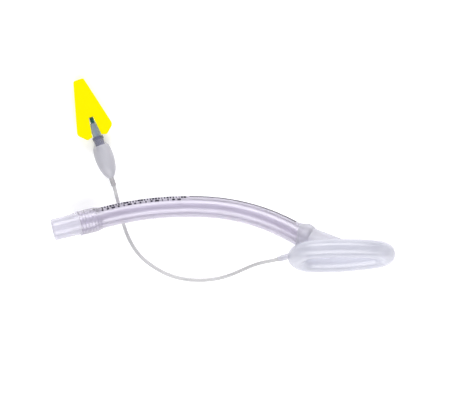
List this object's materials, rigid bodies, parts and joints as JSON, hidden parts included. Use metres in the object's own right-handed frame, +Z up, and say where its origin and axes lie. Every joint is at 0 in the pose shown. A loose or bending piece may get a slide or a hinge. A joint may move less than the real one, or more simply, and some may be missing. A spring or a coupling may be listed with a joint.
{
  "type": "laryngeal mask airway",
  "caption": "Single-use laryngeal mask airway lying on its side: clear curved tube with 15 mm connector, inflatable oval cuff, inflation line, pilot balloon, check valve and yellow tag.",
  "frame": {"origin": "middle of the footprint of the airway without its inflation line group, on the surface it lies on", "axes": "+Z up from that surface, +X from the connector towards the cuff, +Y towards the outside of the tube's curve"},
  "size_m": [0.2438, 0.1447, 0.0395],
  "materials": {
    "natural_plastic": "satin",
    "clear_tube_pvc": "gloss",
    "frosted_plate_pvc": "satin",
    "frosted_cuff_pvc": "satin",
    "line_pvc": "satin",
    "balloon_film": "satin",
    "valve_clear": "gloss",
    "teal_plastic": "satin",
    "silicone": "matte",
    "spring_steel": "polished",
    "yellow_plastic": "satin"
  },
  "bodies": {
    "airway": {"connector_15mm": "natural_plastic", "airway_tube": "clear_tube_pvc", "mask_backplate": "frosted_plate_pvc", "cuff": "frosted_cuff_pvc", "cuff_inflation_port": "frosted_plate_pvc", "inflation_line": "line_pvc", "pilot_balloon": "balloon_film", "valve_body": "valve_clear", "valve_luer_socket": "valve_clear", "valve_spring": "spring_steel", "keep_open_tag": "yellow_plastic"},
    "plunger": {"valve_plunger": "teal_plastic", "valve_seal": "silicone"}
  },
  "joints": [
    {"name": "valve_press", "type": "slide", "parent": "airway", "child": "plunger", "axis": [0.3188, -0.9418, 0.1071], "range_m": [0, 0.0018], "stiffness_N_per_m": 300, "springref_m": -0.002, "deforming": ["valve_spring"]}
  ]
}
